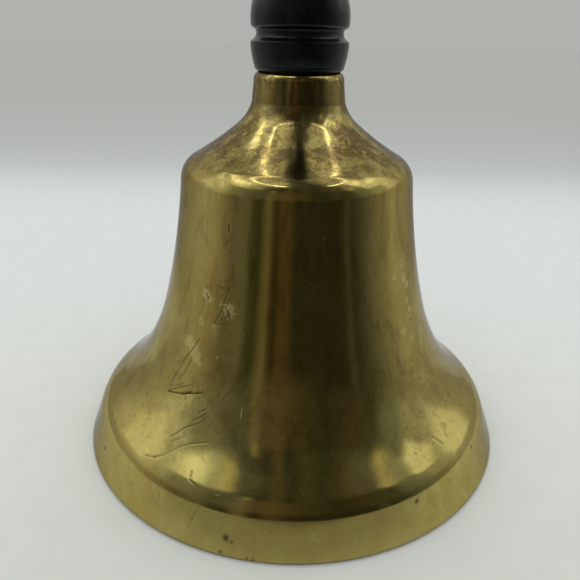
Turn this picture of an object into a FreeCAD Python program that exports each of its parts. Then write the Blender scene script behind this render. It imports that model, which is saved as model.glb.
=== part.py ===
import FreeCAD, Part
import math
import os
from types import SimpleNamespace

import Sketcher

# Hand bell with a turned handle and a free-hanging clapper, in millimetres.
# The origin is the centre of the mouth, in the plane the rim stands on, and +Z runs up the handle.

doc = FreeCAD.newDocument("handbell")

SIZES = {
    # bell: lip band, outside
    "mouth_radius": 63.5,
    "rim_round": 1.2,
    "band_top_radius": 59.96,
    "band_top_height": 10.48,
    "band_round": 11.0,
    "lip_top_radius": 56.76,
    "lip_top_height": 14.99,
    # bell: flare, waist, shoulder and neck, outside
    "slope_top_radius": 53.62,
    "slope_top_height": 17.62,
    "flare_bend": 40.3,
    "flare_radius": 44.0,
    "flare_height": 29.45,
    "waist_bend": 66.6,
    "waist_radius": 38.33,
    "waist_height": 43.84,
    "barrel_bend": 211.5,
    "shoulder_radius": 32.15,
    "shoulder_height": 78.6,
    "shoulder_round": 7.0,
    "cone_low_radius": 28.2,
    "cone_low_height": 84.6,
    "cone_bend": 82.0,
    "cone_high_radius": 16.2,
    "cone_high_height": 93.0,
    "neck_fillet": 11.3,
    "neck_low_radius": 12.55,
    "neck_low_height": 98.5,
    "neck_top_radius": 11.95,
    "neck_round": 2.0,
    "neck_top_height": 105.2,
    # bell: inside
    "rim_width": 4.1,
    "inner_flare_bend": 60.0,
    "bow_radius": 55.4,
    "bow_height": 12.0,
    "wall": 2.7,
    "inner_shoulder_radius": 29.3,
    "inner_shoulder_height": 77.9,
    "inner_shoulder_round": 4.5,
    "inner_cone_radius": 26.2,
    "inner_cone_height": 81.7,
    "ceiling_radius": 13.4,
    "ceiling_height": 91.0,
    "crown_bore_radius": 3.2,
    # seat washer between neck and handle
    "seat_washer_radius": 10.6,
    "seat_washer_thick": 0.9,
    # handle
    "foot_radius": 10.6,
    "foot_round": 1.3,
    "foot_edge_radius": 11.8,
    "foot_edge_height": 1.2,
    "ferrule_bend": 20.0,
    "ferrule_radius": 12.75,
    "ferrule_height": 7.1,
    "cove_low_radius": 11.65,
    "cove_low_height": 7.95,
    "cove_bend": 1.76,
    "cove_high_radius": 11.5,
    "cove_high_height": 10.0,
    "bead_round": 1.4,
    "bead_start_radius": 12.65,
    "bead_start_height": 11.4,
    "bead_bend": 15.0,
    "bead_end_radius": 11.6,
    "bead_end_height": 18.0,
    "handle_waist_bend": 27.0,
    "grip_start_radius": 9.7,
    "grip_start_height": 36.0,
    "grip_bend": 130.0,
    "grip_end_radius": 9.4,
    "grip_end_height": 102.0,
    "throat_bend": 9.0,
    "knob_start_radius": 9.6,
    "knob_start_height": 112.0,
    "knob_bend": 19.0,
    "handle_top_radius": 7.0,
    "handle_length": 136.9,
    "handle_bore_radius": 3.3,
    # eye bolt through crown and handle
    "bolt_radius": 3.0,
    "bolt_tip_height": 251.0,
    "bolt_tip_round": 0.6,
    "bolt_eye_height": 76.5,
    "bolt_eye_ring": 4.0,
    "bolt_eye_wire": 1.25,
    "thread_pitch": 1.0,
    "thread_depth": 0.5,
    "crown_thread_height": 81.6,
    "crown_thread_rings": 8,
    "finial_thread_height": 235.0,
    "finial_thread_rings": 15,
    "nut_bore_radius": 3.05,
    # fastenings inside the crown
    "crown_washer_radius": 8.0,
    "crown_washer_thick": 1.4,
    "lock_washer_radius": 5.4,
    "lock_washer_thick": 1.6,
    "lock_washer_slit": 0.9,
    "crown_nut_flats": 10.0,
    "crown_nut_thick": 5.0,
    # fastenings on top of the handle
    "finial_washer_radius": 6.6,
    "finial_washer_thick": 1.1,
    "finial_nut_flats": 10.0,
    "finial_nut_thick": 5.2,
    "finial_dome_radius": 4.6,
    "finial_dome_height": 4.6,
    "finial_bore_depth": 7.4,
    # link and clapper
    "hang_gap": 0.05,
    "link_ring": 4.0,
    "link_wire": 1.1,
    "clapper_eye_ring": 3.2,
    "clapper_eye_wire": 1.1,
    "clapper_shaft_radius": 1.9,
    "clapper_thread_depth": 0.35,
    "clapper_thread_pitch": 0.7,
    "clapper_thread_rings": 20,
    "clapper_thread_height": 13.5,
    "clapper_tip_height": 12.6,
    "clapper_ball_radius": 10.0,
    "clapper_ball_foot": 4.5,
    "clapper_ball_flat": 3.6,
    "clapper_ball_top": 23.83,
    "clapper_bore_depth": 12.0,
    "clapper_bore_radius": 1.95,
    "clapper_nut_flats": 7.0,
    "clapper_nut_thick": 3.2,
}

sheet = doc.addObject("Spreadsheet::Sheet", "Sizes")
for row, (name, value) in enumerate(SIZES.items(), start=1):
    sheet.set("A%d" % row, name)
    sheet.set("B%d" % row, str(value))
    sheet.setAlias("B%d" % row, name)
doc.recompute()


class Length:
    """A value in millimetres together with the sheet formula that gives it."""

    def __init__(self, value, formula):
        self.value = value
        self.formula = formula

    def __add__(self, other):
        other = as_length(other)
        return Length(self.value + other.value, "(%s + %s)" % (self.formula, other.formula))

    def __sub__(self, other):
        other = as_length(other)
        return Length(self.value - other.value, "(%s - %s)" % (self.formula, other.formula))

    def __mul__(self, factor):
        return Length(self.value * factor, "%s * %s" % (self.formula, factor))


def as_length(item):
    return item if isinstance(item, Length) else Length(float(item), str(item))


s = SimpleNamespace(**{name: Length(value, "Sizes." + name) for name, value in SIZES.items()})
ZERO = as_length(0)
CLEAR = 1.0     # how far a cutting outline runs past what it cuts

# heights in the stack, from the crown upwards
handle_foot = s.neck_top_height + s.seat_washer_thick
handle_top = handle_foot + s.handle_length
finial_nut_foot = handle_top + s.finial_washer_thick
# and from the crown downwards
crown_washer_foot = s.ceiling_height - s.crown_washer_thick
lock_washer_foot = crown_washer_foot - s.lock_washer_thick
crown_nut_foot = lock_washer_foot - s.crown_nut_thick
bolt_pivot = s.bolt_eye_height - s.bolt_eye_ring
link_height = bolt_pivot + s.bolt_eye_wire + s.link_wire + s.hang_gap - s.link_ring
link_pivot = link_height - s.link_ring
clapper_eye_height = link_pivot + s.link_wire + s.clapper_eye_wire + s.hang_gap - s.clapper_eye_ring


def new_body(label):
    body = doc.addObject("PartDesign::Body", label)
    body.Label = label
    return body


def new_sketch(body, name, role="XZ_Plane"):
    """Sketch on one of the body's own origin planes."""
    support = next(item for item in body.Origin.OriginFeatures if item.Role == role)
    sketch = body.newObject("Sketcher::SketchObject", name)
    sketch.AttachmentSupport = (support, [""])
    sketch.MapMode = "FlatFace"
    return sketch


def tie(sketch, kind, formula, *where):
    """Dimension of the sketch that follows a formula of the sheet."""
    index = sketch.addConstraint(Sketcher.Constraint(kind, *where, formula.value))
    sketch.setExpression("Constraints[%d]" % index, formula.formula)


def arc_between(start, end, bend):
    """Arc of radius abs(bend): a positive bend swells to the right of the direction of travel."""
    chord = end - start
    half = chord.Length / 2
    right = FreeCAD.Vector(chord.y, -chord.x, 0).normalize()
    sagitta = abs(bend) - math.sqrt(bend * bend - half * half)
    middle = (start + end) * 0.5 + right * math.copysign(sagitta, bend)
    return Part.Arc(start, middle, end)


def draw(sketch, outline):
    """Closed outline of (x, y) or (x, y, bend) corners, where bend shapes the edge to the next one."""
    corners = [[as_length(item) for item in corner] for corner in outline]
    points = [FreeCAD.Vector(corner[0].value, corner[1].value, 0) for corner in corners]
    starts = []
    ends = []
    for number, corner in enumerate(corners):
        here = points[number]
        there = points[(number + 1) % len(points)]
        if len(corner) == 3:
            edge = sketch.addGeometry(arc_between(here, there, corner[2].value))
            flipped = sketch.getPoint(edge, 1).distanceToPoint(here) > 1e-4
            starts.append((edge, 2 if flipped else 1))
            ends.append((edge, 1 if flipped else 2))
        else:
            edge = sketch.addGeometry(Part.LineSegment(here, there))
            starts.append((edge, 1))
            ends.append((edge, 2))
    for number, corner in enumerate(corners):
        sketch.addConstraint(Sketcher.Constraint("Coincident", *ends[number - 1], *starts[number]))
        if corner[0].value == 0:
            sketch.addConstraint(Sketcher.Constraint("PointOnObject", *starts[number], -2))
        else:
            tie(sketch, "DistanceX", corner[0], -1, 1, *starts[number])
        if corner[1].value == 0:
            sketch.addConstraint(Sketcher.Constraint("PointOnObject", *starts[number], -1))
        else:
            tie(sketch, "DistanceY", corner[1], -1, 1, *starts[number])
    for number, corner in enumerate(corners):
        if len(corner) == 3:
            radius = corner[2] if corner[2].value > 0 else corner[2] * -1
            tie(sketch, "Radius", radius, starts[number][0])


def turn(body, name, outline, kind="PartDesign::Revolution"):
    """Turn an outline about Z, adding it to the body or grooving it away."""
    sketch = new_sketch(body, name + "_outline")
    draw(sketch, outline)
    feature = body.newObject(kind, name)
    feature.Profile = sketch
    feature.ReferenceAxis = (sketch, ["V_Axis"])
    feature.Angle = 360
    sketch.Visibility = False
    return feature


def turned(label, outline):
    body = new_body(label)
    turn(body, "turning", outline)
    return body


def ring_thread(body, name, radius, depth, pitch, foot, rings):
    """Row of V grooves that stands for a screw thread."""
    outline = [
        (radius + depth * 0.2, foot - pitch * 0.45),
        (radius + depth * 0.2, foot + pitch * 0.45),
        (radius - depth, foot),
    ]
    groove = turn(body, name, outline, "PartDesign::Groove")
    doc.recompute()
    pattern = body.newObject("PartDesign::LinearPattern", name + "_rows")
    pattern.Originals = [groove]
    pattern.Direction = (groove.Profile[0], ["V_Axis"])
    pattern.setExpression("Length", "%s * (%s - 1)" % (pitch.formula, rings.formula))
    pattern.Occurrences = int(rings.value)
    pattern.setExpression("Occurrences", rings.formula)
    body.Tip = pattern


def ring(label, inner, outer, foot, thick):
    return turned(label, [(inner, foot), (outer, foot), (outer, foot + thick), (inner, foot + thick)])


def add_eye(body, name, role, height, ring_radius, wire_radius):
    """Closed wire eye centred on the Z axis, in the given origin plane of the body."""
    eye = body.newObject("PartDesign::AdditiveTorus", name)
    support = next(item for item in body.Origin.OriginFeatures if item.Role == role)
    eye.AttachmentSupport = (support, [""])
    eye.MapMode = "FlatFace"
    eye.setExpression("Radius1", ring_radius.formula)
    eye.setExpression("Radius2", wire_radius.formula)
    eye.setExpression(".AttachmentOffset.Base.y", height.formula)
    return eye


def hexagon(sketch, flats):
    """Regular hexagon about the origin with two corners on the X axis, sized over its flats."""
    corner = flats.value / math.sqrt(3)
    points = []
    for number in range(6):
        angle = math.radians(60 * number)
        points.append(FreeCAD.Vector(corner * math.cos(angle), corner * math.sin(angle), 0))
    edges = []
    for number in range(6):
        edges.append(sketch.addGeometry(Part.LineSegment(points[number], points[(number + 1) % 6])))
    circle = sketch.addGeometry(Part.Circle(FreeCAD.Vector(), FreeCAD.Vector(0, 0, 1), corner), True)
    sketch.addConstraint(Sketcher.Constraint("Coincident", circle, 3, -1, 1))
    for number in range(6):
        sketch.addConstraint(Sketcher.Constraint("Coincident", edges[number - 1], 2, edges[number], 1))
        sketch.addConstraint(Sketcher.Constraint("PointOnObject", edges[number], 1, circle))
        if number:
            sketch.addConstraint(Sketcher.Constraint("Equal", edges[0], edges[number]))
    sketch.addConstraint(Sketcher.Constraint("PointOnObject", edges[0], 1, -1))
    tie(sketch, "Radius", Length(corner, "%s / sqrt(3)" % flats.formula), circle)


def hex_blank(label, flats, thick, foot):
    """Hexagonal nut blank with its corners turned off at 30 degrees on both faces."""
    body = new_body(label)
    body.setExpression(".Placement.Base.z", foot.formula)
    sketch = new_sketch(body, "hexagon", "XY_Plane")
    hexagon(sketch, flats)
    pad = body.newObject("PartDesign::Pad", "blank")
    pad.Profile = sketch
    pad.setExpression("Length", thick.formula)
    sketch.Visibility = False
    doc.recompute()
    face = flats * 0.48
    past = flats * 0.62
    fall = flats * 0.0808      # (past - face) * tan(30 degrees)
    turn(body, "lower_chamfer", [(face, 0), (past, 0), (past, fall)], "PartDesign::Groove")
    turn(body, "upper_chamfer", [(face, thick), (past, thick - fall), (past, thick)], "PartDesign::Groove")
    doc.recompute()
    return body


def hex_nut(label, flats, bore, thick, foot):
    body = hex_blank(label, flats, thick, foot)
    outline = [(0, ZERO - CLEAR), (bore, ZERO - CLEAR), (bore, thick + CLEAR), (0, thick + CLEAR)]
    turn(body, "bore", outline, "PartDesign::Groove")
    return body


# The bell: a steep lip band rounded into a concave flare, a round shoulder and a turned neck.
turned("bell_shell", [
    (s.mouth_radius - s.rim_width, 0),
    (s.mouth_radius - s.rim_round, 0, s.rim_round),
    (s.mouth_radius, s.rim_round),
    (s.band_top_radius, s.band_top_height, s.band_round),
    (s.lip_top_radius, s.lip_top_height),
    (s.slope_top_radius, s.slope_top_height, s.flare_bend * -1),
    (s.flare_radius, s.flare_height, s.waist_bend * -1),
    (s.waist_radius, s.waist_height, s.barrel_bend * -1),
    (s.shoulder_radius, s.shoulder_height, s.shoulder_round),
    (s.cone_low_radius, s.cone_low_height, s.cone_bend * -1),
    (s.cone_high_radius, s.cone_high_height, s.neck_fillet * -1),
    (s.neck_low_radius, s.neck_low_height),
    (s.neck_top_radius, s.neck_top_height - s.neck_round, s.neck_round),
    (s.neck_top_radius - s.neck_round, s.neck_top_height),
    (s.crown_bore_radius, s.neck_top_height),
    (s.crown_bore_radius, s.ceiling_height),
    (s.ceiling_radius, s.ceiling_height),
    (s.inner_cone_radius, s.inner_cone_height, s.inner_shoulder_round * -1),
    (s.inner_shoulder_radius, s.inner_shoulder_height, s.barrel_bend),
    (s.waist_radius - s.wall, s.waist_height, s.waist_bend),
    (s.flare_radius - s.wall, s.flare_height, s.inner_flare_bend),
    (s.bow_radius, s.bow_height),
])

ring("seat_washer", s.crown_bore_radius, s.seat_washer_radius, s.neck_top_height, s.seat_washer_thick)

# The handle: ferrule, cove and bead at the foot, a long grip, a throat and a knob.
turned("handle", [
    (s.handle_bore_radius, handle_foot),
    (s.foot_radius, handle_foot, s.foot_round),
    (s.foot_edge_radius, handle_foot + s.foot_edge_height, s.ferrule_bend),
    (s.ferrule_radius, handle_foot + s.ferrule_height),
    (s.cove_low_radius, handle_foot + s.cove_low_height, s.cove_bend * -1),
    (s.cove_high_radius, handle_foot + s.cove_high_height, s.bead_round),
    (s.bead_start_radius, handle_foot + s.bead_start_height, s.bead_bend),
    (s.bead_end_radius, handle_foot + s.bead_end_height, s.handle_waist_bend * -1),
    (s.grip_start_radius, handle_foot + s.grip_start_height, s.grip_bend),
    (s.grip_end_radius, handle_foot + s.grip_end_height, s.throat_bend * -1),
    (s.knob_start_radius, handle_foot + s.knob_start_height, s.knob_bend),
    (s.handle_top_radius, handle_top),
    (s.handle_bore_radius, handle_top),
])

# One long eye bolt holds bell, handle and finial together and carries the clapper.
bolt = turned("eye_bolt", [
    (0, s.bolt_eye_height + s.bolt_eye_ring),
    (s.bolt_radius, s.bolt_eye_height + s.bolt_eye_ring),
    (s.bolt_radius, s.bolt_tip_height - s.bolt_tip_round),
    (s.bolt_radius - s.bolt_tip_round, s.bolt_tip_height),
    (0, s.bolt_tip_height),
])
ring_thread(bolt, "crown_thread", s.bolt_radius, s.thread_depth, s.thread_pitch,
            s.crown_thread_height, s.crown_thread_rings)
ring_thread(bolt, "finial_thread", s.bolt_radius, s.thread_depth, s.thread_pitch,
            s.finial_thread_height, s.finial_thread_rings)
add_eye(bolt, "eye", "XZ_Plane", s.bolt_eye_height, s.bolt_eye_ring, s.bolt_eye_wire)

# Fastenings under the crown.
ring("crown_washer", s.crown_bore_radius, s.crown_washer_radius, crown_washer_foot, s.crown_washer_thick)
lock_washer = ring("lock_washer", s.nut_bore_radius, s.lock_washer_radius,
                   lock_washer_foot, s.lock_washer_thick)
slit_sketch = new_sketch(lock_washer, "slit_outline", "XY_Plane")
draw(slit_sketch, [
    (s.lock_washer_slit * -0.5, s.nut_bore_radius * 0.5),
    (s.lock_washer_slit * 0.5, s.nut_bore_radius * 0.5),
    (s.lock_washer_slit * 0.5, s.lock_washer_radius + CLEAR),
    (s.lock_washer_slit * -0.5, s.lock_washer_radius + CLEAR),
])
slit = lock_washer.newObject("PartDesign::Pocket", "slit")
slit.Profile = slit_sketch
slit.Type = "ThroughAll"
slit.Reversed = True
hex_nut("crown_nut", s.crown_nut_flats, s.nut_bore_radius, s.crown_nut_thick, crown_nut_foot)

# Fastenings on top of the handle: a flat washer and a domed cap nut.
ring("finial_washer", s.crown_bore_radius, s.finial_washer_radius, handle_top, s.finial_washer_thick)
finial = hex_blank("finial_nut", s.finial_nut_flats, s.finial_nut_thick, finial_nut_foot)
turn(finial, "dome", [
    (0, s.finial_nut_thick - 0.5),
    (s.finial_dome_radius, s.finial_nut_thick - 0.5),
    (s.finial_dome_radius, s.finial_nut_thick, s.finial_dome_height),
    (0, s.finial_nut_thick + s.finial_dome_height),
])
doc.recompute()
turn(finial, "bore", [
    (0, ZERO - CLEAR),
    (s.nut_bore_radius, ZERO - CLEAR),
    (s.nut_bore_radius, s.finial_bore_depth),
    (0, s.finial_bore_depth + s.nut_bore_radius * 0.4),
], "PartDesign::Groove")

# The link hangs in the bolt's eye and the clapper's eye hangs in the link.
link = new_body("link_ring")
add_eye(link, "wire", "YZ_Plane", link_height, s.link_ring, s.link_wire)

clapper = turned("clapper_shaft", [
    (0, s.clapper_tip_height),
    (s.clapper_shaft_radius - s.clapper_thread_depth, s.clapper_tip_height),
    (s.clapper_shaft_radius, s.clapper_tip_height + s.clapper_thread_depth),
    (s.clapper_shaft_radius, clapper_eye_height - s.clapper_eye_ring),
    (0, clapper_eye_height - s.clapper_eye_ring),
])
ring_thread(clapper, "ball_thread", s.clapper_shaft_radius, s.clapper_thread_depth,
            s.clapper_thread_pitch, s.clapper_thread_height, s.clapper_thread_rings)
add_eye(clapper, "eye", "XZ_Plane", clapper_eye_height, s.clapper_eye_ring, s.clapper_eye_wire)

bore_floor = s.clapper_ball_top - s.clapper_bore_depth
turned("clapper_ball", [
    (0, s.clapper_ball_foot, s.clapper_ball_radius),
    (s.clapper_ball_flat, s.clapper_ball_top),
    (s.clapper_bore_radius, s.clapper_ball_top),
    (s.clapper_bore_radius, bore_floor),
    (0, bore_floor),
])
hex_nut("clapper_nut", s.clapper_nut_flats, s.clapper_bore_radius, s.clapper_nut_thick, s.clapper_ball_top)

doc.recompute()
for item in doc.Objects:
    if "Invalid" in item.State or "Error" in item.State:
        raise RuntimeError("%s did not recompute: %s" % (item.Name, item.State))

os.makedirs("parts", exist_ok=True)
for body in doc.findObjects("PartDesign::Body"):
    shape = body.Shape
    if shape.isNull() or not shape.isValid() or len(shape.Solids) != 1:
        raise RuntimeError("%s is not one valid solid" % body.Label)
    shape.exportStep("parts/%s.step" % body.Label)
    box = shape.optimalBoundingBox()
    print("%-15s %9.1f mm3  x %.2f..%.2f  z %.2f..%.2f"
          % (body.Label, shape.Volume, box.XMin, box.XMax, box.ZMin, box.ZMax))
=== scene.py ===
import math

import bpy
import numpy as np
from mathutils import Matrix


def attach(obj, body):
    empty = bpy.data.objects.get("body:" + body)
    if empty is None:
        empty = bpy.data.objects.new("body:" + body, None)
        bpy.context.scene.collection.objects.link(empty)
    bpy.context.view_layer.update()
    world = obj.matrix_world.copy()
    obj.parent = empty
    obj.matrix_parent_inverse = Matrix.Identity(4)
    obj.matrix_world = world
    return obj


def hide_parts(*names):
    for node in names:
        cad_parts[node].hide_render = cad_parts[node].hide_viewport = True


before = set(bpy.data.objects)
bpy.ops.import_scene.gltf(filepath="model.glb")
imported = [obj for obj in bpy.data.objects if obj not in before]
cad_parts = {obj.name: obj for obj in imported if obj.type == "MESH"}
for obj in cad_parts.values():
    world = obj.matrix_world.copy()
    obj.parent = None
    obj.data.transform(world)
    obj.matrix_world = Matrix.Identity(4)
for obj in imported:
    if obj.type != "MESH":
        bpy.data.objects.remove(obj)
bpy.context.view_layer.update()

MM = 0.001

# --------------------------------------------------------------------------------------
# Camera
# --------------------------------------------------------------------------------------

CAMERA_AT = (0.0, -0.16245, 0.11540)
CAMERA_DOWN = 23.93         # degrees below the horizon
CAMERA_LEFT = 0.468         # degrees
CAMERA_ROLL = 1.08          # degrees, anticlockwise
CAMERA_LENS = 36.07         # mm
CAMERA_SENSOR = 36.0        # mm wide
CAMERA_NEAR = 0.005         # metres


def make_camera():
    data = bpy.data.cameras.new("camera")
    data.sensor_width = CAMERA_SENSOR
    data.lens = CAMERA_LENS
    data.clip_start = CAMERA_NEAR
    camera = bpy.data.objects.new("camera", data)
    bpy.context.scene.collection.objects.link(camera)
    turn = (
        Matrix.Rotation(math.radians(CAMERA_LEFT), 4, "Z")
        @ Matrix.Rotation(math.radians(90 - CAMERA_DOWN), 4, "X")
        @ Matrix.Rotation(math.radians(CAMERA_ROLL), 4, "Z")
    )
    camera.matrix_world = Matrix.Translation(CAMERA_AT) @ turn
    bpy.context.scene.camera = camera


# --------------------------------------------------------------------------------------
# Node helpers
# --------------------------------------------------------------------------------------


class Nodes:
    """Short names for building one shader tree."""

    def __init__(self, tree):
        self.tree = tree
        tree.nodes.clear()

    def put(self, socket, value):
        """Links a socket or sets its value; a colour may be given without its alpha."""
        if isinstance(value, bpy.types.NodeSocket):
            self.tree.links.new(value, socket)
            return
        default = socket.default_value
        if hasattr(default, "__len__") and len(default) == 4 and len(value) == 3:
            value = (*value, 1.0)
        socket.default_value = value

    def add(self, kind, settings=None, **inputs):
        """New node with its properties from settings and its sockets from inputs, _ for a space."""
        node = self.tree.nodes.new(kind)
        for name, value in (settings or {}).items():
            setattr(node, name, value)
        for name, value in inputs.items():
            self.put(node.inputs[name.replace("_", " ")], value)
        return node

    def add_in_order(self, kind, values, settings=None):
        """New node with its first sockets filled in order."""
        node = self.add(kind, settings)
        for socket, value in zip(node.inputs, values):
            self.put(socket, value)
        return node

    def math(self, operation, a, b=0.0, c=0.0):
        return self.add_in_order("ShaderNodeMath", (a, b, c), {"operation": operation}).outputs[0]

    def both(self, first, *others):
        """Product of masks."""
        for other in others:
            first = self.math("MULTIPLY", first, other)
        return first

    def plus(self, value, mask, amount):
        """The value, raised by the amount where the mask is one."""
        return self.math("MULTIPLY_ADD", mask, amount, value)

    def mix(self, factor, a, b, blend="MIX"):
        """Colour a where the factor is nought, b where it is one."""
        node = self.add("ShaderNodeMix", {"data_type": "RGBA", "blend_type": blend})
        for index, value in ((0, factor), (6, a), (7, b)):
            self.put(node.inputs[index], value)
        return node.outputs[2]

    def ramp(self, value, low, high, out_low=0.0, out_high=1.0):
        """Smooth step from out_low, at and below low, to out_high."""
        values = (value, low, high, out_low, out_high)
        node = self.add_in_order("ShaderNodeMapRange", values, {"interpolation_type": "SMOOTHSTEP"})
        return node.outputs[0]

    def band(self, value, low, high, soft):
        """One inside low..high, zero outside, with edges of width 2 * soft."""
        rise = self.ramp(value, low - soft, low + soft)
        fall = self.ramp(value, high - soft, high + soft, 1.0, 0.0)
        return self.both(rise, fall)

    def stops(self, value, table, low, high):
        """Colour along a table of (position, colour) with positions from low to high."""
        spread = self.add_in_order("ShaderNodeMapRange", (value, low, high, 0.0, 1.0))
        node = self.add_in_order("ShaderNodeValToRGB", (spread.outputs[0],))
        elements = node.color_ramp.elements
        for number, (position, colour) in enumerate(table):
            where = (position - low) / (high - low)
            element = elements[number] if number < 2 else elements.new(where)
            element.position = where
            element.color = (*colour, 1.0)
        return node.outputs[0]

    def axes(self, vector):
        """The three sockets x, y and z of a vector."""
        return self.add_in_order("ShaderNodeSeparateXYZ", (vector,)).outputs

    def place(self, scale=(1.0, 1.0, 1.0)):
        """Object coordinates in millimetres, stretched."""
        source = self.add("ShaderNodeTexCoord")
        stretch = tuple(item / MM for item in scale)
        return self.add("ShaderNodeMapping", Vector=source.outputs["Object"], Scale=stretch).outputs[0]

    def noise(self, where, size, detail=3.0, rough=0.5, warp=0.0):
        """Noise with features about size millimetres across, spread over nought to one."""
        shape = {"Scale": 1.0 / size, "Detail": detail, "Roughness": rough, "Distortion": warp}
        return self.add("ShaderNodeTexNoise", Vector=where, **shape).outputs[0]


def new_material(name):
    material = bpy.data.materials.new(name)
    material.use_nodes = True
    return material, Nodes(material.node_tree)


def finish_material(n, surface, height, depth):
    """Joins the surface to the output, with a bump of up to depth millimetres."""
    bump = n.add("ShaderNodeBump", Strength=1.0, Distance=depth * MM, Height=height)
    n.put(surface.inputs["Normal"], bump.outputs[0])
    n.add("ShaderNodeOutputMaterial", Surface=surface.outputs[0])


def metal_material(name, light, dark, rough, speckle, stain=(0.12, 0.09, 0.06), stained=0.25):
    """Plain metal with cloudy colour, fine tool marks and specks of stain, speckle mm across."""
    material, n = new_material(name)
    here = n.place()
    cloud = n.noise(here, 3.0, 4.0, 0.6)
    tool = n.noise(n.place((0.05, 0.05, 1.0)), 0.18, 2.0, 0.6)
    spots = n.noise(here, speckle, 3.0, 0.6)
    colour = n.mix(n.ramp(cloud, 0.3, 0.7), light, dark)
    colour = n.mix(n.ramp(spots, 0.58, 0.75, 0.0, stained), colour, stain)
    rough = n.plus(rough, n.ramp(cloud, 0.3, 0.7), 0.10)
    rough = n.plus(rough, n.ramp(tool, 0.3, 0.7), 0.08)
    metal = n.add("ShaderNodeBsdfPrincipled", Base_Color=colour, Metallic=1.0, Roughness=rough)
    finish_material(n, metal, n.plus(tool, spots, 0.6), 0.012)
    return material


# --------------------------------------------------------------------------------------
# Studio
# --------------------------------------------------------------------------------------

# What the metal sees: radiance by direction. Azimuth 0 is towards the camera's side (-Y),
# positive to the right. The room is dark in front, with soft white panels left and right.
# The tables hold (azimuth, radiance), from the lowest to the highest.
LEVEL = [
    (-180, (0.42, 0.42, 0.40)),
    (-150, (0.38, 0.38, 0.36)),
    (-120, (0.38, 0.38, 0.35)),
    (-95, (0.43, 0.43, 0.40)),
    (-82, (0.40, 0.38, 0.32)),
    (-72, (0.31, 0.29, 0.25)),
    (-60, (0.165, 0.155, 0.135)),
    (-44, (0.15, 0.15, 0.135)),
    (-40, (0.07, 0.08, 0.055)),
    (-33, (0.042, 0.046, 0.028)),
    (-29, (0.115, 0.105, 0.064)),
    (-24, (0.19, 0.17, 0.12)),
    (-21, (0.08, 0.069, 0.045)),
    (-17, (0.042, 0.032, 0.016)),
    (-12, (0.098, 0.072, 0.043)),
    (-5, (0.080, 0.060, 0.040)),
    (0, (0.036, 0.035, 0.026)),
    (36, (0.032, 0.030, 0.024)),
    (42, (0.039, 0.037, 0.026)),
    (48, (0.074, 0.076, 0.065)),
    (52, (0.044, 0.043, 0.036)),
    (60, (0.070, 0.072, 0.060)),
    (74, (0.173, 0.18, 0.17)),
    (88, (0.30, 0.29, 0.26)),
    (102, (0.44, 0.44, 0.41)),
    (130, (0.42, 0.42, 0.39)),
    (150, (0.38, 0.38, 0.36)),
    (180, (0.42, 0.42, 0.40)),
]
MIDDLE = [
    (-180, (0.50, 0.50, 0.48)),
    (-110, (0.62, 0.62, 0.60)),
    (-82, (0.62, 0.65, 0.63)),
    (-74, (0.47, 0.50, 0.49)),
    (-66, (0.31, 0.325, 0.305)),
    (-50, (0.205, 0.21, 0.20)),
    (-40, (0.12, 0.13, 0.125)),
    (-33, (0.12, 0.125, 0.11)),
    (-26, (0.20, 0.18, 0.15)),
    (-18, (0.115, 0.095, 0.075)),
    (-10, (0.14, 0.105, 0.078)),
    (-2, (0.095, 0.075, 0.055)),
    (10, (0.065, 0.065, 0.038)),
    (26, (0.040, 0.042, 0.030)),
    (42, (0.072, 0.062, 0.048)),
    (58, (0.073, 0.076, 0.065)),
    (66, (0.185, 0.20, 0.185)),
    (75, (0.23, 0.25, 0.24)),
    (82, (0.41, 0.43, 0.41)),
    (110, (0.56, 0.57, 0.55)),
    (180, (0.50, 0.50, 0.48)),
]
RAISED = [
    (-180, (0.45, 0.45, 0.43)),
    (-135, (0.35, 0.35, 0.33)),
    (-112, (0.90, 0.90, 0.87)),
    (-100, (1.25, 1.25, 1.20)),
    (-76, (1.25, 1.28, 1.22)),
    (-64, (1.12, 1.18, 1.12)),
    (-56, (0.58, 0.63, 0.60)),
    (-44, (0.27, 0.28, 0.27)),
    (-38, (0.19, 0.20, 0.19)),
    (-34, (0.095, 0.105, 0.10)),
    (-26, (0.085, 0.085, 0.08)),
    (-18, (0.045, 0.046, 0.036)),
    (-9, (0.115, 0.10, 0.07)),
    (-2, (0.040, 0.043, 0.030)),
    (12, (0.075, 0.075, 0.055)),
    (24, (0.047, 0.055, 0.038)),
    (36, (0.088, 0.08, 0.06)),
    (48, (0.13, 0.13, 0.12)),
    (58, (0.12, 0.125, 0.12)),
    (64, (0.33, 0.34, 0.32)),
    (76, (0.40, 0.42, 0.40)),
    (84, (1.40, 1.48, 1.45)),
    (104, (1.60, 1.60, 1.55)),
    (116, (1.10, 1.10, 1.05)),
    (128, (0.45, 0.45, 0.43)),
    (180, (0.45, 0.45, 0.43)),
]
CEILING = [
    (-180, (0.40, 0.40, 0.39)),
    (-110, (0.80, 0.80, 0.78)),
    (-44, (0.80, 0.84, 0.84)),
    (-28, (0.58, 0.61, 0.62)),
    (-18, (0.19, 0.20, 0.20)),
    (-8, (0.095, 0.10, 0.095)),
    (35, (0.068, 0.070, 0.058)),
    (48, (0.13, 0.13, 0.13)),
    (60, (0.34, 0.35, 0.34)),
    (100, (0.62, 0.62, 0.60)),
    (150, (0.55, 0.55, 0.53)),
    (180, (0.40, 0.40, 0.39)),
]
ZENITH = (0.09, 0.09, 0.08)
# Elevations over which each table takes over from the one before.
TO_MIDDLE = (4, 16)
TO_RAISED = (37, 45)
TO_CEILING = (54, 66)
TO_ZENITH = (74, 88)
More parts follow.
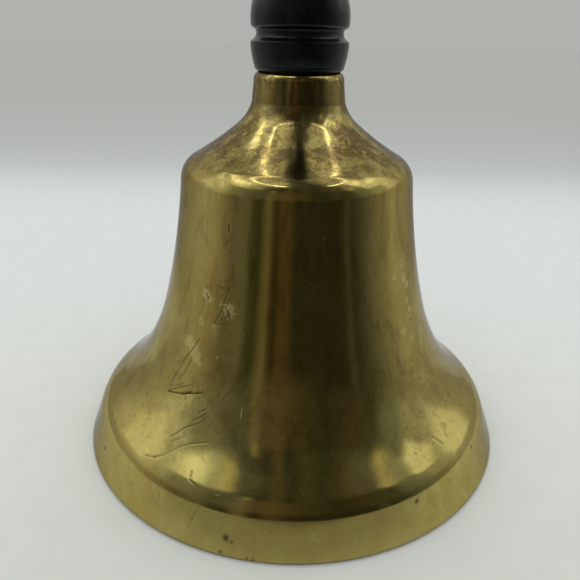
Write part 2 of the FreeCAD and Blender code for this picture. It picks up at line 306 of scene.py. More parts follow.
# Lamps: (azimuth from, to, softness, elevation from, to, softness, radiance)
LAMPS = [
    (-165, -17, 3, 64.7, 66.3, 0.6, (4.8, 4.8, 4.6)),
    (52, 150, 5, 61.9, 63.5, 0.6, (4.4, 4.4, 4.2)),
    (-130, -72, 4, 49.0, 58.0, 2.0, (2.10, 2.15, 2.10)),
    (-110, -87, 4, 18.0, 41.0, 3.0, (0.92, 0.95, 0.92)),
    (79, 108, 3, 31.0, 42.0, 2.0, (0.95, 1.00, 0.98)),
    (99, 120, 4, 12.0, 42.0, 3.0, (0.90, 0.93, 0.90)),
    (-50, -41, 4.5, 46.0, 54.0, 4.5, (0.62, 0.58, 0.38)),
    (59, 67, 4.5, 38.0, 47.0, 4.5, (0.58, 0.54, 0.36)),
    (-28, -23, 1.5, 38.0, 45.0, 2.0, (0.30, 0.28, 0.18)),
]
# What lights everything else, and what the camera sees beyond the table.
DOME = (0.99, 1.0, 0.985)
DISTANCE_GREY = (0.435, 0.445, 0.42)


def make_world():
    """Surroundings that mirrored rays see in detail, and that light the rest evenly."""
    world = bpy.data.worlds.new("studio")
    bpy.context.scene.world = world
    world.use_nodes = True
    world.cycles.sampling_method = "NONE"
    n = Nodes(world.node_tree)
    x, y, z = n.axes(n.add("ShaderNodeTexCoord").outputs["Generated"])
    azimuth = n.math("DEGREES", n.math("ARCTAN2", x, n.math("MULTIPLY", y, -1.0)))
    elevation = n.math("DEGREES", n.math("ARCSINE", z))
    colour = n.stops(azimuth, LEVEL, -180, 180)
    for span, table in ((TO_MIDDLE, MIDDLE), (TO_RAISED, RAISED), (TO_CEILING, CEILING)):
        colour = n.mix(n.ramp(elevation, *span), colour, n.stops(azimuth, table, -180, 180))
    colour = n.mix(n.ramp(elevation, *TO_ZENITH), colour, ZENITH)
    for az_from, az_to, az_soft, el_from, el_to, el_soft, radiance in LAMPS:
        across = n.band(azimuth, az_from, az_to, az_soft)
        up = n.band(elevation, el_from, el_to, el_soft)
        colour = n.mix(n.both(across, up), colour, radiance)
    path = n.add("ShaderNodeLightPath")
    colour = n.mix(path.outputs["Is Glossy Ray"], DOME, colour)
    colour = n.mix(path.outputs["Is Camera Ray"], colour, DISTANCE_GREY)
    background = n.add("ShaderNodeBackground", Color=colour, Strength=1.0)
    n.add("ShaderNodeOutputWorld", Surface=background.outputs[0])


# Painted shade on the floor by depth: a little darker in front, and darker towards the back where less
# light falls. Depth is how far behind the bell's axis (+Y), in metres.
FLOOR_SHADE_BY_DEPTH = [
    (-0.15, (0.64, 0.655, 0.62)),
    (-0.06, (0.68, 0.70, 0.66)),
    (-0.03, (0.72, 0.74, 0.70)),
    (0.02, (0.73, 0.755, 0.72)),
    (0.08, (0.72, 0.75, 0.73)),
    (0.21, (0.712, 0.74, 0.735)),
    (0.265, (0.683, 0.712, 0.707)),
    (0.31, (0.628, 0.655, 0.65)),
    (0.375, (0.525, 0.547, 0.538)),
    (0.467, (0.478, 0.496, 0.484)),
    (0.70, (0.442, 0.456, 0.438)),
    (1.50, DISTANCE_GREY),
]
FLOOR_REACH = 6.0                           # metres from the axis to each side
# Painted shade: the table darkens to grey with distance from the axis.
FLOOR_SHADE_FADE = (0.42, 1.1)                    # distances over which the table fades to grey
MIRRORED_FADE = (0.15, 0.26)                # distances over which the metal stops seeing it
# Painted shadow on the table in front of the bell, seen only in the metal.
FRONT_SHADOW = (-0.105, -0.035, 0.55, 0.93)    # depth from, to; how bright the metal sees it
UNDER_MOUTH = 0.0622                        # radius inside which it lets light through


def make_floor():
    """A wide pale table, painted with shade that darkens it towards the back, that can be looked
    through from below and under the mouth.

    The metal sees it near the bell only, with a painted shadow in front, where the viewer's side of
    the room shades it; further out the metal sees the room instead."""
    reach = FLOOR_REACH
    corners = [(-reach, -reach, 0), (reach, -reach, 0), (reach, reach, 0), (-reach, reach, 0)]
    mesh = bpy.data.meshes.new("floor")
    mesh.from_pydata(corners, [], [(0, 1, 2, 3)])
    floor = bpy.data.objects.new("floor", mesh)
    bpy.context.scene.collection.objects.link(floor)
    material, n = new_material("floor")
    place = n.add("ShaderNodeNewGeometry")
    length = n.add_in_order(
        "ShaderNodeVectorMath", (place.outputs["Position"],), {"operation": "LENGTH"}
    )
    distance = length.outputs["Value"]
    depth = n.axes(place.outputs["Position"])[1]
    seen_in_metal = n.add("ShaderNodeLightPath").outputs["Is Glossy Ray"]

    # Painted shade: darker by depth, and fading to grey with distance from the axis.
    tone_and_shade = n.stops(depth, FLOOR_SHADE_BY_DEPTH, FLOOR_SHADE_BY_DEPTH[0][0], FLOOR_SHADE_BY_DEPTH[-1][0])
    tone_and_shade = n.mix(n.ramp(distance, *FLOOR_SHADE_FADE), tone_and_shade, DISTANCE_GREY)
    speck = n.noise(n.place(), 9.0, 4.0)
    tone_and_shade = n.mix(1.0, tone_and_shade, n.ramp(speck, 0.3, 0.7, 0.985, 1.01), "MULTIPLY")
    # Painted shadow: the metal sees the table darker in front, where the viewer's side shades it.
    front_shadowed = n.mix(1.0, tone_and_shade, n.ramp(depth, *FRONT_SHADOW), "MULTIPLY")
    tone_and_shade = n.mix(seen_in_metal, tone_and_shade, front_shadowed)
    paper = n.add("ShaderNodeBsdfPrincipled", Base_Color=tone_and_shade, Roughness=0.7, Specular_IOR_Level=0.2)

    clear = n.add("ShaderNodeBsdfTransparent")
    gone = n.both(seen_in_metal, n.ramp(distance, *MIRRORED_FADE))
    under_mouth = n.math("LESS_THAN", distance, UNDER_MOUTH)
    clear_part = n.math("MAXIMUM", n.math("MAXIMUM", place.outputs["Backfacing"], gone), under_mouth)
    surface = n.add_in_order("ShaderNodeMixShader", (clear_part, paper.outputs[0], clear.outputs[0]))
    n.add("ShaderNodeOutputMaterial", Surface=surface.outputs[0])
    mesh.materials.append(material)


# --------------------------------------------------------------------------------------
# Turned meshes
# --------------------------------------------------------------------------------------


def arc_points(start, end, bend, step):
    """Points from start up to, not including, end: a positive bend swells to the right."""
    start, end = np.array(start, float), np.array(end, float)
    chord = end - start
    length = np.linalg.norm(chord)
    if not bend:
        count = max(1, int(math.ceil(length / step)))
        return [start + chord * (i / count) for i in range(count)]
    right = np.array([chord[1], -chord[0]]) / length
    to_centre = math.copysign(math.sqrt(bend * bend - length * length / 4), bend)
    centre = (start + end) / 2 - right * to_centre
    first = math.atan2(*(start - centre)[::-1])
    sweep = math.atan2(*(end - centre)[::-1]) - first
    sweep = (sweep + math.pi) % (2 * math.pi) - math.pi
    count = max(1, int(math.ceil(abs(sweep * bend) / step)))
    angles = first + sweep * np.arange(count) / count
    return list(centre + abs(bend) * np.stack([np.cos(angles), np.sin(angles)], 1))


def trace(corners, closed=True):
    """Fine outline from corners of (radius, height, bend, step), all in millimetres."""
    points = []
    last = len(corners) if closed else len(corners) - 1
    for number in range(last):
        radius, height, bend, step = corners[number]
        after = corners[(number + 1) % len(corners)]
        points += arc_points((radius, height), after[:2], bend, step)
    if not closed:
        points.append(np.array(corners[-1][:2], float))
    return np.array(points)


def column_angles(fine, coarse, reach):
    """Angles round the axis, in degrees from -Y: fine within reach of the front, coarse behind."""
    front = np.arange(-reach, reach, fine)
    back = np.arange(reach, 360 - reach, coarse)
    return np.concatenate([front, back])


def lathe(name, outline, angles, move=None):
    """Turned mesh. move holds how far each point goes along its outward normal, by row and column."""
    rows, columns = len(outline), len(angles)
    ahead = np.roll(outline, -1, 0) - np.roll(outline, 1, 0)
    normal = np.stack([ahead[:, 1], -ahead[:, 0]], 1)
    normal /= np.linalg.norm(normal, axis=1)[:, None]
    if move is None:
        move = np.zeros((rows, columns))
    radius = outline[:, :1] + normal[:, :1] * move
    height = outline[:, 1:] + normal[:, 1:] * move
    turn = np.radians(angles)[None, :]
    points = np.stack([radius * np.sin(turn), -radius * np.cos(turn), height], -1).reshape(-1, 3) * MM
    row = np.arange(rows)[:, None]
    column = np.arange(columns)[None, :]
    above = (row + 1) % rows
    beside = (column + 1) % columns
    around = [(row, column), (row, beside), (above, beside), (above, column)]
    faces = np.stack([up * columns + across for up, across in around], -1).reshape(-1, 4)
    mesh = bpy.data.meshes.new(name)
    mesh.vertices.add(len(points))
    mesh.vertices.foreach_set("co", points.astype(np.float32).ravel())
    mesh.loops.add(faces.size)
    mesh.loops.foreach_set("vertex_index", faces.astype(np.int32).ravel())
    mesh.polygons.add(len(faces))
    mesh.polygons.foreach_set("loop_start", np.arange(0, faces.size, 4, dtype=np.int32))
    mesh.polygons.foreach_set("use_smooth", np.ones(len(faces), bool))
    mesh.update(calc_edges=True)
    piece = bpy.data.objects.new(name, mesh)
    bpy.context.scene.collection.objects.link(piece)
    return piece


# --------------------------------------------------------------------------------------
# The bell
# --------------------------------------------------------------------------------------

FINE, PLAIN, INSIDE = 0.26, 0.45, 1.2       # spacings of points along the outline
BELL_COLUMNS = (0.33, 1.0, 66.0)            # degrees apart in front, behind, and where that changes
# (radius, height, bend of the edge that follows, spacing of points on it). The neck's top edge
# stands 0.85 mm higher than in the CAD, round the seat washer.
BELL_OUTSIDE = [
    (59.4, 0.0, 0, 0.6),
    (62.3, 0.0, 1.2, 0.15),
    (63.5, 1.2, 0, PLAIN),
    (59.96, 10.48, 11, 0.2),
    (56.76, 14.99, 0, FINE),
    (53.62, 17.62, -40.3, FINE),
    (44.0, 29.45, -66.6, FINE),
    (38.33, 43.84, -211.5, FINE),
    (32.15, 78.6, 7, 0.2),
    (28.2, 84.6, -82, 0.3),
    (16.2, 93.0, -11.3, 0.3),
    (12.55, 98.5, 0, 0.4),
    (11.97, 103.8, 2.3, 0.12),
    (10.7, 106.05, 0, 0.2),
    (10.0, 106.05, 0, 0.3),
    (9.85, 105.2, 0, 1.0),
]
BELL_INSIDE = [
    (3.2, 105.2, 0, 2.0),
    (3.2, 91.0, 0, 1.5),
    (13.4, 91.0, 0, INSIDE),
    (26.2, 81.7, -4.5, 0.6),
    (29.3, 77.9, 211.5, INSIDE),
    (35.63, 43.84, 66.6, INSIDE),
    (41.3, 29.45, 60, INSIDE),
    (55.4, 12.0, 0, INSIDE),
]

# Scratches: (groove width, depth, darkness, [(angle, height), ...]), angles in degrees from
# the front.
SCRATCHES = [
    (0.30, 0.05, 0.9, [(-39.0, 42.1), (-41.8, 38.6), (-44.3, 35.8), (-46.3, 31.3), (-47.1, 29.3)]),
    (0.26, 0.04, 0.8, [(-40.6, 36.6), (-42.6, 32.3), (-44.2, 30.5)]),
    (0.26, 0.04, 0.8, [(-47.5, 26.5), (-43.0, 28.7), (-37.6, 30.8)]),
    (0.24, 0.03, 0.6, [(-48.0, 28.0), (-44.5, 28.8), (-41.0, 30.3)]),
    (0.42, 0.06, 1.0, [(-47.0, 26.6), (-43.0, 27.4), (-39.0, 28.3), (-36.5, 29.0), (-32.0, 30.2)]),
    (0.60, 0.08, 1.0, [(-40.0, 27.9), (-38.4, 28.6), (-36.6, 29.3)]),
    (0.30, 0.04, 0.8, [(-38.6, 28.4), (-38.0, 27.2)]),
    (0.30, 0.04, 0.8, [(-37.2, 19.4), (-33.6, 22.2), (-29.4, 24.1)]),
    (0.24, 0.03, 0.5, [(-29.4, 24.1), (-27.3, 26.0)]),
    (0.22, 0.03, 0.4, [(-24.6, 29.0), (-22.8, 31.3), (-21.0, 32.5)]),
    (0.30, 0.04, 0.9, [(-31.5, 24.4), (-29.8, 25.3), (-28.5, 26.2)]),
    (0.30, 0.04, 0.8, [(-31.0, 26.0), (-28.6, 27.3)]),
    (0.26, 0.04, 0.6, [(-36.0, 18.8), (-32.0, 20.9)]),
    (0.28, 0.04, 0.8, [(-41.2, 14.8), (-38.6, 15.2), (-36.1, 16.3), (-32.5, 18.8), (-29.3, 20.0),
                       (-24.3, 21.3)]),
    (0.34, 0.05, 0.7, [(-26.0, 16.0), (-25.4, 14.6), (-22.6, 14.0)]),
    (0.30, 0.05, 0.8, [(-27.0, 57.4), (-28.8, 53.6), (-30.2, 50.2), (-32.2, 47.8)]),
    (0.26, 0.04, 0.7, [(-32.5, 57.3), (-30.2, 56.9), (-28.4, 57.2)]),
    (0.26, 0.04, 0.7, [(-33.0, 47.6), (-30.0, 47.9), (-27.5, 48.3)]),
    (0.24, 0.04, 0.8, [(-29.6, 52.0), (-28.6, 50.0), (-29.6, 48.8)]),
    (0.70, 0.07, 1.0, [(-27.0, 51.6), (-25.8, 50.4)]),
    (0.40, 0.06, 1.0, [(-29.2, 72.9), (-28.9, 71.2)]),
    (0.24, 0.03, 0.6, [(-30.0, 69.0), (-29.9, 67.8)]),
    (0.30, 0.05, 0.9, [(45.6, 17.9), (46.0, 17.2), (47.0, 16.4)]),
    (0.22, 0.03, 0.5, [(-45.5, 10.8), (-44.6, 9.4), (-44.8, 8.4)]),
    (0.22, 0.03, 0.5, [(-21.5, 10.6), (-22.6, 7.6), (-23.4, 5.0)]),
    (0.20, 0.03, 0.4, [(-33.0, 9.8), (-32.2, 8.2)]),
    (0.20, 0.02, 0.4, [(-26.6, 10.4), (-26.2, 8.6)]),
    (0.22, 0.02, 0.4, [(22.0, 9.5), (21.4, 7.2)]),
]
# Bright rubbed marks: (width, brightness, [(angle, height), ...])
RUBS = [
    (0.34, 0.9, [(-16.4, 29.4), (-16.2, 27.0)]),
    (0.30, 0.6, [(-14.0, 22.5), (-12.8, 21.6)]),
    (0.34, 0.7, [(-18.0, 13.7), (-16.8, 13.8)]),
    (0.30, 0.6, [(-13.2, 14.0), (-10.4, 13.6)]),
    (0.60, 0.35, [(-4.0, 63.2), (4.0, 61.0), (15.0, 58.5)]),
    (0.40, 0.35, [(0.0, 53.0), (1.6, 51.8), (3.0, 53.4)]),
    (0.35, 0.45, [(2.4, 16.2), (4.0, 14.9), (5.4, 15.9)]),
    (0.30, 0.4, [(20.0, 36.5), (21.0, 35.6)]),
]
# Spots: (angle, height, radius, strength). Pale ones are rubbed or stained lighter, dark ones
# are pits.
PALE = [
    (-38.5, 54.2, 1.7, 0.9),
    (-36.6, 53.3, 1.3, 0.8),
    (-26.8, 51.6, 2.6, 0.8),
    (-29.5, 52.6, 1.5, 0.6),
    (-39.5, 47.0, 1.8, 0.6),
    (-33.0, 46.6, 2.2, 0.5),
    (-44.0, 40.4, 2.2, 0.9),
    (-41.0, 39.3, 2.4, 0.9),
    (-38.6, 37.6, 2.0, 0.9),
    (-36.4, 36.6, 1.3, 0.7),
    (-29.0, 39.5, 0.8, 0.5),
    (54.0, 60.8, 1.2, 1.0),
    (47.0, 58.2, 1.2, 0.6),
    (54.5, 56.6, 1.6, 0.8),
    (57.0, 54.4, 1.6, 0.7),
    (55.0, 50.5, 1.3, 0.7),
    (56.5, 47.5, 1.3, 0.6),
    (50.0, 43.0, 1.6, 0.6),
    (55.0, 40.0, 2.0, 0.5),
    (-40.0, 61.5, 0.7, 0.6),
    (12.0, 71.0, 0.4, 0.5),
    (6.0, 67.8, 1.0, 0.25),
    (7.0, 62.0, 0.5, 0.3),
    (-20.0, 46.5, 3.0, 0.3),
    (35.0, 60.0, 0.8, 0.3),
]
PITS = [
    (-38.3, 54.1, 0.35, 0.9),
    (-37.0, 53.4, 0.35, 0.9),
    (54.0, 60.8, 0.45, 0.6),
    (45.0, 18.2, 0.30, 0.9),
    (52.5, 18.6, 0.30, 0.6),
    (49.0, 19.5, 0.22, 0.5),
    (50.5, 17.0, 0.22, 0.5),
    (36.5, 17.5, 0.25, 0.7),
    (31.5, 9.6, 0.55, 1.0),
    (43.5, 9.8, 0.28, 0.8),
    (57.0, 11.6, 0.45, 0.9),
    (58.5, 8.0, 0.30, 0.7),
    (-59.0, 7.2, 0.50, 0.9),
    (-52.0, 10.0, 0.25, 0.5),
    (-14.0, 5.2, 0.75, 1.0),
    (-12.6, 4.6, 0.40, 0.8),
    (-15.0, 1.6, 0.40, 0.9),
    (-9.0, 1.3, 0.35, 0.9),
    (-7.6, 1.2, 0.40, 0.9),
    (-38.0, 15.3, 0.35, 0.8),
    (56.5, 44.8, 0.40, 0.8),
    (43.0, 41.5, 0.30, 0.5),
    (-33.0, 21.0, 0.25, 0.6),
    (20.0, 40.0, 0.3, 0.5),
]
PIT_DEPTH = 0.06
# Dents: (angle, height, radius, depth)
DENTS = [
    (-36.5, 82.6, 2.2, 0.20),
    (-62.0, 83.5, 2.0, 0.15),
    (-48.0, 84.0, 2.4, 0.12),
    (30.0, 84.6, 2.0, 0.10),
    (-38.0, 28.6, 2.2, 0.05),
    (-26.5, 51.2, 2.0, 0.04),
]


# Turned outsides are set back from their outlines, so that their unevenness stays within.
# On the bell that fades out towards the rim and the neck's top.
SET_BACK = 0.03
LEAST_SET_BACK = 0.01
EDGE_FADE = 2.0
NECK_TOP = 105.0


class Skin:
    """Distances over the outside of the bell, measured along the surface in millimetres."""

    def __init__(self, outline):
        step = np.linalg.norm(np.diff(outline, axis=0), axis=1)
        self.heights = outline[:, 1]
        self.radii = outline[:, 0]
        self.run = np.concatenate([[0.0], np.cumsum(step)])

    def along(self, height):
        return np.interp(height, self.heights, self.run)

    def offset(self, angle, height, at):
        """(across, up) of every point from the spot at (angle, height)."""
        turn = (angle - at[0] + 180.0) % 360.0 - 180.0
        radius = np.interp(at[1], self.heights, self.radii)
        return np.radians(turn) * radius, self.along(height) - self.along(at[1])

    def spot(self, angle, height, at, radius):
        """Strength from 0 to 1 of a round mark."""
        across, up = self.offset(angle, height, at)
        return np.exp(-(across**2 + up**2) / (radius * radius))

    def line(self, angle, height, path, width):
        """Strength from 0 to 1 of a mark of that width along a path."""
        nearest = np.full(angle.shape, np.inf)
        for start, end in zip(path, path[1:]):
            across, up = self.offset(angle, height, start)
            to_across, to_up = self.offset(np.array(end[0]), np.array(end[1]), start)
            length = to_across**2 + to_up**2
            share = np.clip((across * to_across + up * to_up) / length, 0.0, 1.0)
            gap = np.hypot(across - share * to_across, up - share * to_up)
            nearest = np.minimum(nearest, gap)
        return np.exp(-((nearest / (width * 0.5)) ** 2))


def ripple(angle, height):
    """Slow unevenness of a spun and polished wall, a few hundredths of a millimetre."""
    turn = np.radians(angle)
    slow = np.sin(3 * turn + 0.4) * np.sin(height / 9.0 + 1.0) + 0.6 * np.sin(7 * turn + height / 13.0)
    quick = np.sin(17 * turn + height / 2.6) * np.sin(height / 3.7 + 5 * turn)
    crown = 1.0 / (1.0 + np.exp(-(height - 84.0) / 1.5))
    return 0.010 * slow + (0.001 + 0.012 * crown) * quick


def wear(skin, angle, height):
    """(outward move in mm, darkness of scratches, paleness of rubs) over the outside."""
    move = ripple(angle, height)
    scratch = np.zeros(angle.shape)
    pale = np.zeros(angle.shape)
    for width, depth, dark, path in SCRATCHES:
        mark = skin.line(angle, height, path, width)
        scratch = np.maximum(scratch, mark * dark)
        move -= mark * depth
    for width, bright, path in RUBS:
        pale = np.maximum(pale, skin.line(angle, height, path, width) * bright)
    for *at, radius, strength in PALE:
        pale = np.maximum(pale, skin.spot(angle, height, at, radius) * strength)
    for *at, radius, strength in PITS:
        mark = skin.spot(angle, height, at, radius)
        scratch = np.maximum(scratch, mark * strength)
        move -= mark * PIT_DEPTH
    for *at, radius, depth in DENTS:
        move -= skin.spot(angle, height, at, radius) * depth
    rim_fade = np.clip(height / EDGE_FADE, 0.0, 1.0)
    neck_fade = np.clip((NECK_TOP - height) / EDGE_FADE, 0.0, 1.0)
    return np.minimum(move - SET_BACK, -LEAST_SET_BACK) * (rim_fade * neck_fade), scratch, pale


# As in METALS below.
INNER_BRASS = (
    "inner_brass", (0.40, 0.31, 0.13), (0.31, 0.235, 0.095), 0.36, 2.4, (0.15, 0.10, 0.05), 0.5
)


def make_bell():
    outside = trace(BELL_OUTSIDE + BELL_INSIDE[:1], closed=False)
    outline = trace(BELL_OUTSIDE + BELL_INSIDE)
    outer_rows = len(outside) - 1
    angles = column_angles(*BELL_COLUMNS)
    outer = slice(0, outer_rows)
    angle, height = np.meshgrid(angles, outline[outer, 1])
    worn, scratch, pale = wear(Skin(outside), angle, height)
    move = np.zeros((len(outline), len(angles)))
    move[outer] = worn
    marks = np.zeros((*move.shape, 4), np.float32)
    marks[outer, :, 0] = scratch
    marks[outer, :, 1] = pale
    marks[..., 3] = 1.0

    bell = lathe("bell_body", outline, angles, move)
    layer = bell.data.attributes.new("marks", "FLOAT_COLOR", "POINT")
    layer.data.foreach_set("color", marks.ravel())
    bell.data.materials.append(bell_brass())
    bell.data.materials.append(metal_material(*INNER_BRASS))
    inner = np.arange(len(outline)) >= outer_rows
    bell.data.polygons.foreach_set("material_index", np.repeat(inner, len(angles)).astype(np.int32))
    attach(bell, "bell")
    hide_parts("bell_shell")


def bell_brass():
    """Dulled, once polished brass: turning lines, blotchy tarnish, rubbed spots, scratches, and
    painted shade along the rim's bottom edge.
    """
    material, n = new_material("bell_brass")
    marks = n.add("ShaderNodeAttribute", {"attribute_name": "marks"})
    split = n.add_in_order("ShaderNodeSeparateColor", (marks.outputs["Color"],))
    scratch, pale = split.outputs[0], split.outputs[1]
    here = n.place()
    height = n.axes(here)[2]

    cloud = n.noise(here, 15.0, 4.0, 0.55)
    pools = n.noise(here, 13.0, 5.0, 0.55, 0.6)
    blotch = n.noise(here, 5.0, 7.0, 0.66, 0.5)
    patina = n.noise(here, 5.5, 9.0, 0.78, 0.3)
    grain = n.noise(here, 0.7, 4.0, 0.65)
    lines = n.noise(n.place((0.03, 0.03, 1.0)), 0.16, 3.0, 0.7)
    runs = n.noise(n.place((1.0, 1.0, 0.22)), 3.4, 6.0, 0.66, 0.4)
    upright = n.noise(n.place((1.6, 1.6, 0.10)), 0.55, 2.0, 0.6)
    off_middle = n.math("SUBTRACT", grain, 0.5)

    crown = n.ramp(height, 79.0, 88.0)
    above_lip = n.ramp(height, 12.0, 19.0, 0.25, 1.0)
    brown = n.both(n.ramp(patina, 0.44, 0.54), crown)
    gold = n.both(n.ramp(patina, 0.43, 0.36), crown)
    neck = n.both(n.band(height, 96.0, 103.6, 1.2), n.ramp(blotch, 0.30, 0.62, 1.0, 0.7))
    shore = n.both(n.ramp(pools, 0.49, 0.515), n.ramp(pools, 0.60, 0.515))
    shore = n.both(shore, n.band(height, 20.0, 40.0, 5.0))
    nicks = n.both(n.ramp(upright, 0.69, 0.74), n.ramp(height, 13.0, 10.0))
    ragged = n.ramp(n.plus(pale, off_middle, 2.2), 0.22, 0.75)
    flecks = n.both(ragged, n.math("MINIMUM", n.math("MULTIPLY", pale, 2.0), 1.0))
    # Painted shade: darker along the rim's bottom edge, where the bell stands on the table; weaker on
    # the very underside.
    above_edge = n.ramp(height, 0.01, 0.12, 0.3, 1.0)
    rim_edge_shade = n.both(n.ramp(n.plus(height, off_middle, 1.2), 1.1, 0.3), above_edge)

    colour = n.mix(n.ramp(cloud, 0.35, 0.68), (0.53, 0.435, 0.140), (0.49, 0.385, 0.112))
    # Layers over one another: (where, how strongly, colour)
    for mask, strength, tint in (
        (n.ramp(blotch, 0.52, 0.70), 0.30, (0.31, 0.215, 0.078)),
        (n.ramp(blotch, 0.46, 0.30), 0.18, (0.64, 0.56, 0.24)),
        (brown, 0.80, (0.145, 0.090, 0.042)),
        (gold, 0.60, (0.76, 0.67, 0.31)),
        (n.band(blotch, 0.485, 0.492, 0.006), 0.30, (0.24, 0.16, 0.075)),
        (neck, 1.0, (0.25, 0.195, 0.070)),
        (n.both(n.ramp(runs, 0.53, 0.62), above_lip), 0.46, (0.30, 0.205, 0.080)),
        (n.ramp(runs, 0.43, 0.36), 0.32, (0.66, 0.58, 0.25)),
        (shore, 0.30, (0.27, 0.19, 0.085)),
        (nicks, 0.55, (0.15, 0.11, 0.05)),
        (n.ramp(grain, 0.62, 0.76), 0.40, (0.28, 0.20, 0.085)),
        (n.ramp(lines, 0.52, 0.75), 0.28, (0.68, 0.58, 0.26)),
        (flecks, 0.75, (0.68, 0.60, 0.27)),
        (scratch, 1.0, (0.07, 0.055, 0.03)),
        # painted shade along the rim's bottom edge
        (rim_edge_shade, 0.85, (0.06, 0.045, 0.02)),
    ):
        colour = n.mix(n.math("MULTIPLY", mask, strength), colour, tint)

    rough = 0.05
    for mask, more in (
        (n.ramp(blotch, 0.3, 0.7), 0.05),
        (brown, 0.06),
        (n.ramp(lines, 0.3, 0.7), 0.03),
        (flecks, 0.24),
        (n.math("MAXIMUM", scratch, rim_edge_shade), 0.30),
    ):
        rough = n.plus(rough, mask, more)

    relief = n.math("MULTIPLY", lines, 0.30)
    relief = n.plus(relief, n.both(patina, crown), 0.9)
    relief = n.math("ADD", relief, n.both(grain, n.plus(0.10, crown, 0.35)))
    metal = n.add(
        "ShaderNodeBsdfPrincipled",
        Base_Color=colour,
        Metallic=n.plus(1.0, flecks, -0.09),
        Roughness=rough,
        Specular_Tint=(0.62, 0.60, 0.62),
        Anisotropic=0.35,
        Tangent=n.add("ShaderNodeTangent", {"direction_type": "RADIAL", "axis": "Z"}).outputs[0],
    )
    finish_material(n, metal, relief, 0.006)
    return material


# --------------------------------------------------------------------------------------
# The handle and the seat washer
# --------------------------------------------------------------------------------------

FOOT = 106.1                                # height of the handle's foot
HANDLE_TOP = 136.9                          # above its foot
# (radius, height above the foot, bend of the edge that follows, spacing of points on it)
HANDLE = [
    (3.3, 0.0, 0, 1.5),
    (10.6, 0.0, 1.3, 0.15),
    (11.8, 1.2, 20, 0.3),
    (12.75, 7.1, 0, 0.15),
    (11.65, 7.95, -1.76, 0.15),
    (11.5, 10.0, 1.4, 0.15),
    (12.65, 11.4, 15, 0.3),
    (11.6, 18.0, -27, 0.8),
    (9.7, 36.0, 130, 1.0),
    (9.4, 102.0, -9, 0.6),
    (9.6, 112.0, 19, 0.6),
    (7.0, HANDLE_TOP, 0, 1.0),
    (3.3, HANDLE_TOP, 0, 4.0),
]


def black_lacquer():
    material, n = new_material("black_lacquer")
    here = n.place()
    grain = n.noise(n.place((1.0, 1.0, 0.06)), 0.7, 4.0, 0.6)
    cloud = n.noise(here, 7.0, 3.0)
    nicks = n.noise(here, 0.9, 2.0, 0.5)
    colour = n.mix(n.ramp(cloud, 0.35, 0.65), (0.0012, 0.0022, 0.0030), (0.0025, 0.0042, 0.0058))
    colour = n.mix(n.ramp(nicks, 0.70, 0.78, 0.0, 0.5), colour, (0.09, 0.07, 0.05))
    rough = n.plus(0.16, n.ramp(cloud, 0.3, 0.7), 0.06)
    rough = n.plus(rough, n.ramp(grain, 0.3, 0.7), 0.04)
    lacquer = n.add(
        "ShaderNodeBsdfPrincipled", Base_Color=colour, Roughness=rough, Specular_IOR_Level=0.32
    )
    finish_material(n, lacquer, n.plus(grain, cloud, 1.5), 0.03)
    return material


# Only the turned side is uneven and set back, not the bore and the end faces.
TURNED_RADIUS = 8.0
TURNED_FROM = 1.0
TURNED_TO = 135.0


def make_handle():
    outline = trace([(radius, height + FOOT, bend, step) for radius, height, bend, step in HANDLE])
    angles = column_angles(fine=0.75, coarse=1.5, reach=90.0)
    radius, height = outline[:, :1], outline[:, 1:]
    turn = np.radians(angles)[None, :]
    uneven = 0.02 * np.sin(2 * turn + height / 30.0) + 0.008 * np.sin(5 * turn + height / 7.0)
    above_foot = height - FOOT
    turned = (radius > TURNED_RADIUS) & (above_foot > TURNED_FROM) & (above_foot < TURNED_TO)
    handle = lathe("handle_turning", outline, angles, np.where(turned, uneven - SET_BACK, 0.0))
    handle.data.materials.append(black_lacquer())
    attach(handle, "bell")
    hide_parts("handle")


# Narrower than in the CAD, to leave room for the neck's top edge.
WASHER = [
    (3.2, 105.2, 0, 1.5),
    (9.55, 105.2, 0.15, 0.1),
    (9.7, 105.35, 0, 0.15),
    (9.7, 105.95, 0.15, 0.1),
    (9.55, FOOT, 0, 1.5),
    (3.2, FOOT, 0, 0.5),
]


def make_seat_washer():
    washer = lathe("seat_ring", trace(WASHER), column_angles(fine=1.0, coarse=2.0, reach=90.0))
    material, n = new_material("black_fibre")
    fibre = n.noise(n.place(), 0.35, 4.0, 0.7)
    colour = n.mix(n.ramp(fibre, 0.35, 0.65), (0.004, 0.004, 0.004), (0.014, 0.012, 0.010))
    body = n.add("ShaderNodeBsdfPrincipled", Base_Color=colour, Roughness=n.plus(0.60, fibre, 0.25))
    finish_material(n, body, fibre, 0.04)
    washer.data.materials.append(material)
    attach(washer, "bell")
    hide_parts("seat_washer")


# --------------------------------------------------------------------------------------
# Fastenings and clapper
# --------------------------------------------------------------------------------------

EDGE_BREAK = 0.08                           # mm
SHARP = 50                                  # degrees between faces


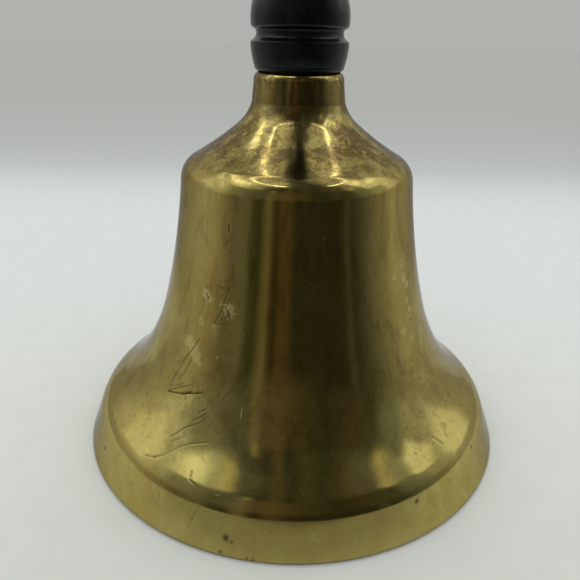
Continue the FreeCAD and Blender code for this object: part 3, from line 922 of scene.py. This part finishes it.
def dress(node, material):
    """Gives a CAD node its finish, and breaks its sharp edges."""
    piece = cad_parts[node]
    piece.data.materials.clear()
    piece.data.materials.append(material)
    bevel = piece.modifiers.new("broken_edges", "BEVEL")
    bevel.width = EDGE_BREAK * MM
    bevel.segments = 2
    bevel.limit_method = "ANGLE"
    bevel.angle_limit = math.radians(SHARP)
    bevel.harden_normals = True


CLAPPER_BALL = [
    (0.02, 4.5, 10, 0.35),
    (3.6, 23.83, 0, 0.8),
    (1.95, 23.83, 0, 1.0),
    (1.95, 11.83, 0, 0.8),
    (0.02, 11.83, 0, 1.0),
]


def make_clapper_ball(material):
    angles = column_angles(fine=3.0, coarse=3.0, reach=90.0)
    ball = lathe("clapper_bob", trace(CLAPPER_BALL), angles)
    ball.data.materials.append(material)
    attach(ball, "clapper")
    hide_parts("clapper_ball")


# (name, light colour, dark colour, roughness, size of specks, and where they differ from
# metal_material's own: colour and strength of the specks)
METALS = [
    ("drawn_steel", (0.50, 0.50, 0.49), (0.40, 0.40, 0.40), 0.28, 1.2),
    ("zinc_plate", (0.56, 0.56, 0.55), (0.46, 0.47, 0.47), 0.34, 1.6),
    ("plated_nut", (0.55, 0.54, 0.50), (0.44, 0.43, 0.40), 0.30, 1.4),
    ("link_wire", (0.46, 0.46, 0.46), (0.36, 0.36, 0.37), 0.25, 0.9),
    ("finial_brass", (0.62, 0.50, 0.20), (0.52, 0.40, 0.14), 0.22, 1.5, (0.22, 0.14, 0.06)),
    ("clapper_brass", (0.50, 0.40, 0.17), (0.40, 0.31, 0.12), 0.36, 2.0, (0.18, 0.12, 0.06), 0.5),
]
FASTENINGS = [
    ("eye_bolt", "drawn_steel"),
    ("crown_washer", "zinc_plate"),
    ("lock_washer", "zinc_plate"),
    ("crown_nut", "plated_nut"),
    ("finial_washer", "finial_brass"),
    ("finial_nut", "finial_brass"),
    ("link_ring", "link_wire"),
    ("clapper_shaft", "drawn_steel"),
    ("clapper_nut", "plated_nut"),
]


def dress_metal():
    metals = {look[0]: metal_material(*look) for look in METALS}
    for node, metal in FASTENINGS:
        dress(node, metals[metal])
    make_clapper_ball(metals["clapper_brass"])


bpy.context.scene.view_settings.view_transform = "Standard"
make_camera()
make_world()
make_floor()
make_bell()
make_handle()
make_seat_washer()
dress_metal()

bpy.context.view_layer.update()
